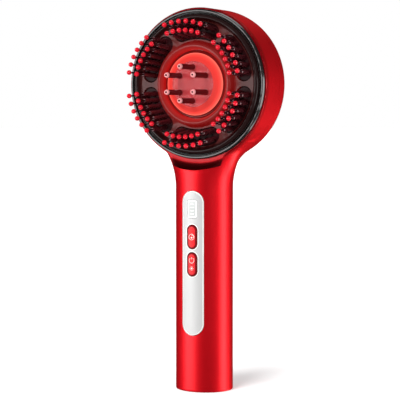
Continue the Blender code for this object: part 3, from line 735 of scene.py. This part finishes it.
def make_shells():
    """Front housing and back cover: one body, hollowed and parted at the seam."""
    body = body_mesh()
    hollow = handle_hollow()
    combine(hollow, [scoop_floor()])
    combine(body, [hollow, head_hollow()])
    back = add_object("back_shell", body.data.copy())
    body.name = "front_shell"

    rebate_r, rebate_floor = BEZEL_R + GAP, -BEZEL_DEPTH - GAP
    rebate = [(0, 5), (rebate_r, 5), (rebate_r, rebate_floor), (0, rebate_floor)]
    pocket_outline = stadium_outline(PANEL_W + 2 * GAP, PANEL_H + 2 * GAP, PANEL_Z)
    front_cutters = [
        slab("rear_space", SEAM_Y - SEAM_GAP / 2, 40),
        turned("rebate", rebate, [], 160),
        shallow_pocket("panel_pocket", pocket_outline, PANEL_POCKET, FRONT_CUT),
        display_prism("display_slot", DISPLAY_SLOT_ROOM),
    ]
    combine(body, front_cutters + button_holes("slot"))

    flap_outline = rounded_rectangle(FLAP_W + 2 * GAP, FLAP_H + FLAP_ROOM, FLAP_Z - 0.1, 1.0)
    back_cutters = [
        slab("front_space", -60, SEAM_Y + SEAM_GAP / 2),
        shallow_pocket("flap_recess", flap_outline, FLAP_POCKET, REAR_CUT),
        prism("port_slot", stadium_outline(PORT_W, PORT_H, FLAP_Z), *REAR_CUT, axis="y"),
    ]
    combine(back, back_cutters)
    for shell, node in ((body, "front_housing"), (back, "back_cover")):
        finish_mesh(shell.data, SHELL_SHARP_DEG)
        settle(shell, "root", "red_shell", node)


def display_prism(name, grow):
    """A cutter for the display window's hole, grown by this much all round."""
    outline = rounded_rectangle(WINDOW_W + 2 * grow, WINDOW_H + 2 * grow, WINDOW_Z, WINDOW_CORNER + grow)
    return prism(name, outline, *FRONT_CUT, axis="y")


# ---------------------------------------------------------------- control panel


def face_y(x, rise=0.0):
    """y of the handle's front surface at x, moved outwards by rise."""
    a, b = HANDLE_A + rise, HANDLE_B + rise
    return -b * math.sqrt(max(1 - (x / a) ** 2, 0))


def ring_points(outline_at, rings, facing=1):
    """Points of rings (inset, rise) that follow the handle's front or, where facing is -1, its back."""
    points = []
    for inset, rise in rings:
        points += [(x, facing * face_y(x, rise), z) for x, z in outline_at(inset)]
    return points, len(points) // len(rings)


def plate(name, outline_at, rings, materials, paint=None, facing=1):
    """A plate that follows the handle. outline_at(inset) is its outline, and paint(row) a ring's material."""
    points, count = ring_points(outline_at, rings, facing)
    rows = len(rings)
    faces = side_faces(rows, count) + end_faces(rows, count)
    owners = [row for row in range(rows - 1) for _ in range(count)] + [0, rows - 1]
    return mesh_object(name, points, faces, materials, [paint(row) for row in owners] if paint else None)


def inward(width, height, z):
    """outline_at for a slot-shaped plate."""
    return lambda inset: stadium_outline(width, height, z, inset=inset)


def make_panel():
    """Silver panel with a pale edge painted as a highlight, its holes, and in each of two holes a button with
    a pale rim, also a painted highlight.
    """
    edge = [(0, -1.2), (0, -0.08), (0.06, 0.05), (0.16, 0.11), (0.34, 0.11), (0.5, 0.07)]
    inner = [(i, 0.06) for i in np.linspace(0.8, PANEL_W / 2 - 0.05, 12)]
    # Painted highlight: the edge's rounded rows take the pale colour.
    panel = plate(
        "panel", inward(PANEL_W, PANEL_H, PANEL_Z), edge + inner, [LOOK["silver"], LOOK["painted_highlight_edge"]],
        paint=lambda row: 1 if 1 <= row <= 3 else 0,
    )
    combine(panel, [display_prism("window_hole", GAP), *button_holes("hole")])
    finish_mesh(panel.data)
    settle(panel, "root", "silver_panel", "control_panel")
    for name, z in button_centres().items():
        make_rim(name + "_rim", z)
        make_button(name, z)


def make_rim(name, z):
    """A thin raised line round a button's hole, pale as a painted highlight."""
    grow = GAP + 0.02
    outline = inward(BUTTON_W + 2 * grow + 2 * RIM_W, BUTTON_H + 2 * grow + 2 * RIM_W, z)
    section = [(RIM_W, -0.3), (0.0, -0.3), (0.0, 0.12), (0.1, 0.24), (0.33, 0.24), (0.44, 0.12)]
    points, count = ring_points(outline, section)
    rim = mesh_object(name, points, side_faces(len(section), count, closed=True), [LOOK["painted_highlight_edge"]])
    settle(rim, "root", "silver_panel")


def make_button(name, z):
    """A domed red button with its symbol: a swirl in a ring, or a power mark above a small sun."""
    rings = [(0, -3.0), (0, 0.2), (0.06, 0.42), (0.22, 0.58), (0.5, 0.66), (0.9, 0.68)]
    rings += [(i, 0.69) for i in np.linspace(1.3, BUTTON_W / 2 - 0.05, 6)]
    # Painted shade: the sides and rounded shoulder take the darker red.
    cap = plate(
        "cap_" + name, inward(BUTTON_W, BUTTON_H, z), rings, [LOOK["button"], LOOK["button_side"]],
        paint=lambda row: 1 if row < 5 else 0,
    )
    settle(cap, name, "red_button", name)
    if name == "mode_button":
        strokes = [arc_stroke(0, z, 1.6, 0, 359), arc_stroke(0.35, z + 0.2, 0.85, 115, -60)]
        dots = [(-0.05, z - 0.35, 0.5)]
    else:
        strokes = [arc_stroke(0, z + 2.3, 1.5, 125, 415), [(0.0, z + 3.0), (0.0, z + 4.1)]]
        dots = [(0, z - 2.2, 0.5)]
        for i in range(8):
            (x0, z0), (x1, z1) = polar(0.85, 45 * i), polar(1.2, 45 * i)
            strokes.append([(x0, z - 2.2 + z0), (x1, z - 2.2 + z1)])
    make_icon("icon_" + name, name, strokes, dots)


def arc_stroke(x, z, radius, first_deg, last_deg):
    """A stroke along part of a circle."""
    found, steps = [], 28
    for i in range(steps + 1):
        dx, dz = polar(radius, first_deg + (last_deg - first_deg) * i / steps)
        found.append((x + dx, z + dz))
    return found


def make_icon(name, body, strokes, dots, width=0.22, rise=0.7, look="icon"):
    """Thin raised line art that follows the handle's curve, rise in front of it."""
    points, faces = [], []
    for stroke in strokes:
        for i, (x, z) in enumerate(stroke):
            before, after = stroke[max(i - 1, 0)], stroke[min(i + 1, len(stroke) - 1)]
            along = Vector((after[0] - before[0], after[1] - before[1])).normalized() * width / 2
            for side in (1, -1):
                px, pz = x - along.y * side, z + along.x * side
                points += [(px, face_y(px, rise + lift), pz) for lift in (-ICON_SINK, ICON_PROUD)]
        first = len(points) - 4 * len(stroke)
        for i in range(len(stroke) - 1):
            a, b = first + 4 * i, first + 4 * i + 4
            for p, q in ((0, 1), (1, 3), (3, 2), (2, 0)):
                faces.append([a + p, a + q, b + q, b + p])
        faces.append([first, first + 1, first + 3, first + 2])
        last = first + 4 * (len(stroke) - 1)
        faces.append([last, last + 1, last + 3, last + 2])
    for x, z, radius in dots:
        first, count = len(points), 20
        for lift in (-ICON_SINK, ICON_PROUD):
            for i in range(count):
                dx, dz = polar(radius, 360 * i / count)
                points.append((x + dx, face_y(x + dx, rise + lift), z + dz))
        faces += [[first + i for i in face] for face in end_faces(2, count) + side_faces(2, count)]
    icon = mesh_object(name, points, faces, [LOOK[look]])
    settle(icon, body, "display_window")


def make_display():
    """Lit window with a bright frame and faint level bars."""

    def outline(inset):
        corner = max(WINDOW_CORNER - inset, 0.15)
        return rounded_rectangle(WINDOW_W - 2 * inset, WINDOW_H - 2 * inset, WINDOW_Z, corner)

    rings = [(0, -0.9), (0, 0.02), (0.05, 0.07), (0.12, 0.08), (0.62, 0.08), (0.66, 0.03)]
    rings += [(i, 0.02) for i in (0.9, 1.4, 1.9, 2.4)]
    window = plate(
        "display_face", outline, rings, [LOOK["display_light"], LOOK["display"]],
        paint=lambda row: 1 if row >= 5 else 0,
    )
    settle(window, "root", "display_window", "display_window")
    bars = [[(-1.1, WINDOW_Z + dz), (1.1, WINDOW_Z + dz)] for dz in (-2.7, -0.9, 0.9, 2.7)]
    make_icon("display_bars", "root", bars, [], width=0.35, rise=0.05, look="display_light")


# ---------------------------------------------------------------- head


def make_bezel():
    """Polished black ring: a bevelled outer bead, a groove, and a bevelled ridge beside the comb."""
    profile = [(36.6, -BEZEL_DEPTH), (36.6, -2.6), (38.95, -2.6), (38.95, 1.05), (39.1, 1.05)]
    profile += [(39.55, 0.1), (39.9, 0.1), (40.1, BEZEL_TOP_S), (41.0, BEZEL_TOP_S)]
    profile += [(BEZEL_BEAD_R, GAP + 0.1), (BEZEL_BEAD_R, GAP), (BEZEL_R, GAP), (BEZEL_R, -BEZEL_DEPTH)]
    bezel = turned("bezel", closed_round(profile, 0.2, 4), [LOOK["black"]], 160, ring=True)
    settle(bezel, "root", "black_gloss", "bezel_ring")


def make_comb():
    """Smoky plate with its raised rim, sloping floor edge and hub, and six wells for the pads."""
    profile = [(19.2, -1.3), (19.2, 3.0), (20.2, 4.35), (21.5, 4.7), (22.7, 4.2), (23.6, FLOOR_S)]
    profile += [(35.1, FLOOR_S), (36.0, 2.3), (36.8, 3.2), (37.8, 3.05), (38.6, 1.9), (38.6, -1.3)]
    comb = turned("comb", closed_round(profile, 0.55, 4), [LOOK["smoky"]], 180, ring=True)
    wells = [
        prism(f"well_{i}", kidney(PAD_R, PAD_HALF_W + GAP, PAD_HALF_DEG, degrees), *PAD_WELL, HEAD_MATRIX)
        for i, degrees in enumerate(pad_degs())
    ]
    combine(comb, wells)
    finish_mesh(comb.data)
    comb.data.materials.clear()
    comb.data.materials.append(LOOK["smoky"])
    settle(comb, "comb_head", "smoky_plate", "comb_plate")


def pad_degs():
    """Angle of each pad's middle, the first at the top."""
    return [90 + 360 / PAD_COUNT * i for i in range(PAD_COUNT)]


class Collector:
    """Gathers many small solids into one mesh, with a material index for each face."""

    def __init__(self):
        self.points, self.faces, self.indices = [], [], []

    def add(self, points, faces, indices, matrix=None):
        first = len(self.points)
        if matrix is not None:
            points = [tuple(matrix @ Vector(p)) for p in points]
        self.points += points
        self.faces += [[first + i for i in face] for face in faces]
        self.indices += indices


def kidney_slab():
    """(points, faces) of a pad's body: stacked kidney outlines, each (half width, half angle, height)."""
    steps = [(4.0, PAD_HALF_DEG, -2.5), (PAD_HALF_W, PAD_HALF_DEG, -2.0), (PAD_HALF_W, PAD_HALF_DEG, -0.7)]
    steps += [(4.5, PAD_HALF_DEG, -0.35), (4.2, PAD_HALF_DEG, -0.2), (3.4, 17.6, -0.3)]
    points = []
    for half_width, half_deg, height in steps:
        points += [(x, y, height) for x, y in kidney(PAD_R, half_width, half_deg, 0)]
    count = len(points) // len(steps)
    return points, side_faces(len(steps), count) + end_faces(len(steps), count)


def bristle_parts():
    """(turned outline, material index, segments) of a bristle's sleeve, stem and bead."""
    bead = [(0, TIP_S)]
    for i in range(1, 8):
        angle = math.radians(180 * i / 8)
        radius = BEAD_R * math.sin(angle) * (1 - 0.1 * math.cos(angle))
        bead.append((radius, TIP_S - BEAD_HALF_LENGTH + BEAD_HALF_LENGTH * math.cos(angle)))
    bead += [(0.62, TIP_S - 3.0), (0, TIP_S - 3.1)]
    sleeve = [(0, 11.6), (0.8, 11.55), (1.1, 11.2), (1.2, 10.6)]
    sleeve += [(1.42, 0.6), (1.7, -0.1), (1.95, -0.6), (0, -0.7)]
    stem = [(0, TIP_S - 2.2), (0.42, TIP_S - 2.3), (0.5, 14), (0.56, 11), (0, 10.9)]
    return ((sleeve, 1, 18), (stem, 2, 10), (bead, 3, 18))


def make_pads():
    """Soft pads, each with two rows of bristles that lean outwards."""
    made = Collector()
    points, faces = kidney_slab()
    made.add(points, faces, [0] * len(faces))
    for foot_r, tip_r in ROWS:
        lean = math.atan2(tip_r - foot_r, TIP_S)
        for i in range(ROW_BRISTLES):
            degrees = ROW_STEP_DEG * (i - (ROW_BRISTLES - 1) / 2)
            place = (
                Matrix.Rotation(math.radians(degrees), 4, "Z")
                @ Matrix.Translation((foot_r, 0, 0))
                @ Matrix.Rotation(lean, 4, "Y")
            )
            for outline, index, segments in bristle_parts():
                points, faces, _ = revolve(outline, segments)
                made.add(points, faces, [index] * len(faces), place)
    looks = [LOOK[name] for name in ("pad", "sleeve", "stem", "bead")]
    first = mesh_object("pad_1", made.points, made.faces, looks, made.indices)
    for i, degrees in enumerate(pad_degs(), 1):
        pad = first if i == 1 else add_object(f"pad_{i}", first.data)
        pad.matrix_world = HEAD_MATRIX @ Matrix.Rotation(math.radians(degrees), 4, "Z")
        settle(pad, "comb_head", "bristle", f"bristle_pad_{i}")


def make_nozzles():
    """Lit dome with its sloping edge, and six hollow nozzles with pale tips."""
    dome = [(0, 5.0), (12.6, 5.0), (13.2, 4.8), (17.2, 2.5), (17.5, 1.7), (18.9, 1.5), (18.9, -0.3)]
    dome += [(16.4, -0.3), (16.2, 1.7), (12.3, 3.8), (0, 3.8)]
    outline = [dome[0], *rounded(dome, 0.5, 4)[1:-1], dome[-1]]
    looks = [LOOK["dome_top"], LOOK["dome_edge"], LOOK["valley"]]
    cap = turned("dome", outline, looks, 128, paint=lambda r, s: 2 if r > 17.3 else 1 if r > 12.7 else 0)
    settle(cap, "nozzle_cap", "clear_red", "nozzle_cap")
    made = Collector()
    tip = NOZZLE_TIP_S
    tube = [(0.6, tip - 4), (0.6, tip - 0.1), (0.7, tip), (1.0, tip), (1.25, tip - 0.3), (1.35, tip - 0.9)]
    tube += [(NOZZLE_R, tip - 1.3), (NOZZLE_R, 5.6), (1.75, 5.1), (1.75, 4.9), (NOZZLE_R, 4.7)]
    tube += [(NOZZLE_R, NOZZLE_FOOT_S + 0.9), (1.2, NOZZLE_FOOT_S), (0.6, NOZZLE_FOOT_S)]
    points, faces, owner = revolve(tube, 28, ring=True)
    pale = [1 if 1 <= step <= 5 or step in (8, 12) else 0 for step in owner]
    for i in range(NOZZLE_COUNT):
        place = Matrix.Translation((*polar(NOZZLE_PITCH_R, 90 + 360 / NOZZLE_COUNT * i), 0))
        made.add(points, faces, pale, place)
    nozzles = mesh_object(
        "nozzles", made.points, made.faces, [LOOK["nozzle"], LOOK["nozzle_tip"]], made.indices, HEAD_MATRIX
    )
    settle(nozzles, "nozzle_cap", "clear_red")


# ---------------------------------------------------------------- pieces carried over from the CAD


def make_flap():
    """The charging port's flap, which follows the handle's back, with a plug on its inner side."""

    def outline(inset):
        return rounded_rectangle(FLAP_W - 2 * inset, FLAP_H - 2 * inset, FLAP_Z, max(0.9 - inset, 0.2))

    rings = [(0, -0.9), (0, -0.12), (0.05, -0.04)] + [(inset, 0.0) for inset in (0.18, 0.8, 1.6, 2.4, 3.2)]
    flap = plate("flap", outline, rings, [LOOK["rubber"]], facing=-1)
    plug = prism("flap_plug", stadium_outline(PLUG_W, PLUG_H, FLAP_Z), *PLUG_Y, axis="y")
    combine(flap, [plug], "UNION")
    finish_mesh(flap.data)
    settle(flap, "port_flap", "rubber", "port_flap")


CARRIED = {
    "dark": ["base_cap", "battery_cradle", "comb_backplate", "motor_bracket", "power_switch", "mode_switch",
             "display_module"],
    "black": ["head_chassis"],
    "tank": ["serum_tank"],
    "dome_edge": ["light_guide"],
    "rubber": ["comb_seal", "tank_seal", "power_plunger", "mode_plunger"],
    "steel": ["base_screw_1", "base_screw_2", "chassis_screw_1", "chassis_screw_2", "chassis_screw_3",
              "chassis_screw_4", "charge_socket", "motor_can", "motor_shaft"],
    "brass": ["eccentric_weight"],
    "board": ["main_board", "charge_board", "led_board"],
    "cell": ["battery_cell"],
    "wire": ["battery_lead", "motor_lead", "led_lead"],
}


def dress_carried():
    """CAD nodes whose shape is already right only get their material and smooth shading."""
    for look, names in CARRIED.items():
        for name in names:
            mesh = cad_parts[name].data
            mesh.materials.clear()
            mesh.materials.append(LOOK[look])
            mesh.shade_smooth()
            mesh.set_sharp_from_angle(angle=math.radians(SHELL_SHARP_DEG))


# ---------------------------------------------------------------- stage, lights and camera

CAMERA_AZIMUTH, CAMERA_DISTANCE, CAMERA_HEIGHT = 27.5, 820.0, 153.0
SUN_DEG, SUN_ELEVATION_DEG, SUN_SOFTNESS_DEG, SUN_POWER = -32, 40, 30, 3.0
MATT_FILL, GLOSSY_FILL = 0.32, 0.04
VIEW_WIDTH, CENTRE_Z, CENTRE_ACROSS = 225.2, 106.7, -2.5
FLOOR_REACH, FLOOR_DROP = 20000, 0.02

# Name, degrees to the right of the camera, elevation, distance, width, height, power and height faced
SOFTBOXES = (
    ("left_box", -66, 0, 900, 640, 560, 6.8, 75),
    ("right_box", 74, 0, 900, 480, 560, 5.4, 20),
    ("right_low", 100, -35, 900, 400, 400, 3, 100),
    ("top_box", 140, 60, 1000, 500, 500, 2, 150),
    ("front_strip", 24, 14, 900, 120, 320, 1.1, 170),
)


def from_camera(degrees, elevation=0):
    """Unit vector away from the object, turned from the camera's side to the picture's right, and raised."""
    turn, raised = math.radians(CAMERA_AZIMUTH + degrees), math.radians(elevation)
    return Vector((math.sin(turn) * math.cos(raised), -math.cos(turn) * math.cos(raised), math.sin(raised)))


def make_camera():
    """A camera a little below the middle of the head, turned down slightly to take in the whole handle."""
    data = bpy.data.cameras.new("camera")
    camera = add_object("camera", data)
    across = from_camera(90) * CENTRE_ACROSS
    camera.location = (from_camera(0) * CAMERA_DISTANCE + across + Vector((0, 0, CAMERA_HEIGHT))) * MM
    drop = CAMERA_HEIGHT - CENTRE_Z
    pitch = math.pi / 2 - math.atan2(drop, CAMERA_DISTANCE)
    camera.rotation_euler = (pitch, 0, math.radians(CAMERA_AZIMUTH))
    data.lens = data.sensor_width * math.hypot(drop, CAMERA_DISTANCE) / VIEW_WIDTH
    data.clip_start, data.clip_end = 0.01, 20
    bpy.context.scene.camera = camera


def add_light(name, kind, away, power):
    """A light that shines back along away."""
    data = bpy.data.lights.new(name, kind)
    data.energy = power
    light = add_object(name, data)
    light.rotation_euler = (-away).to_track_quat("-Z", "Y").to_euler()
    return light


def softbox(name, degrees, elevation, distance, width, height, power, centre_z):
    """An area light that only shows in reflections. centre_z is the height that it faces."""
    away = from_camera(degrees, elevation)
    light = add_light(name, "AREA", away, power)
    light.data.shape, light.data.size, light.data.size_y = "RECTANGLE", width * MM, height * MM
    light.location = (Vector((0, 0, centre_z)) + away * distance) * MM
    light.visible_camera = False
    light.visible_diffuse = False


def make_lights():
    """Boxes on both sides, low on the right and above behind, a front strip, and a sun for the shadow."""
    for box in SOFTBOXES:
        softbox(*box)
    sun = add_light("sun", "SUN", from_camera(SUN_DEG, SUN_ELEVATION_DEG), SUN_POWER)
    sun.data.angle = math.radians(SUN_SOFTNESS_DEG)
    sun.visible_glossy = False


def make_world():
    """White to the camera, soft grey light on matt surfaces, and nearly dark in reflections."""
    world = bpy.data.worlds.new("studio")
    world.use_nodes = True
    tree = world.node_tree
    tree.nodes.clear()
    path, output = tree.nodes.new("ShaderNodeLightPath"), tree.nodes.new("ShaderNodeOutputWorld")
    lit = background(tree, MATT_FILL)
    for ray, strength in (("Is Glossy Ray", GLOSSY_FILL), ("Is Camera Ray", 1.0)):
        mix = tree.nodes.new("ShaderNodeMixShader")
        tree.links.new(path.outputs[ray], mix.inputs["Fac"])
        tree.links.new(lit, mix.inputs[1])
        tree.links.new(background(tree, strength), mix.inputs[2])
        lit = mix.outputs[0]
    tree.links.new(lit, output.inputs["Surface"])
    bpy.context.scene.world = world


def background(tree, strength):
    """White light of this strength."""
    node = tree.nodes.new("ShaderNodeBackground")
    node.inputs["Color"].default_value = (1, 1, 1, 1)
    node.inputs["Strength"].default_value = strength
    return node.outputs[0]


def make_floor():
    """White floor that brightens away from the object as painted light, so that the shadow fades out."""
    points = [(x * FLOOR_REACH, y * FLOOR_REACH, 0) for x, y in ((-1, -1), (1, -1), (1, 1), (-1, 1))]
    white, pale = (1.0, 1.0, 1.0), (0.78, 0.78, 0.78)
    material = new_material("floor_white", pale, 0.3, specular_ior_level=0.0, emission_color=white)
    n = Nodes(material)
    n.link(n.spread(n.noise(3, 2.0), 0.25, 0.35), n.shader.inputs["Roughness"])
    # Painted light: the floor's glow rises with distance from the object and washes the shadow out.
    n.link(n.spread(n.radial(40, 110), 0.42, 0.75), n.shader.inputs["Emission Strength"])
    floor = mesh_object("floor", points, [[0, 1, 2, 3]], [material])
    floor.location.z = -FLOOR_DROP * MM
    floor.visible_glossy = False
    floor.visible_shadow = False


make_camera()
make_world()
make_floor()
make_lights()
make_shells()
make_panel()
make_display()
make_bezel()
make_comb()
make_pads()
make_nozzles()
make_flap()
dress_carried()
bpy.context.scene.view_settings.view_transform = "Standard"
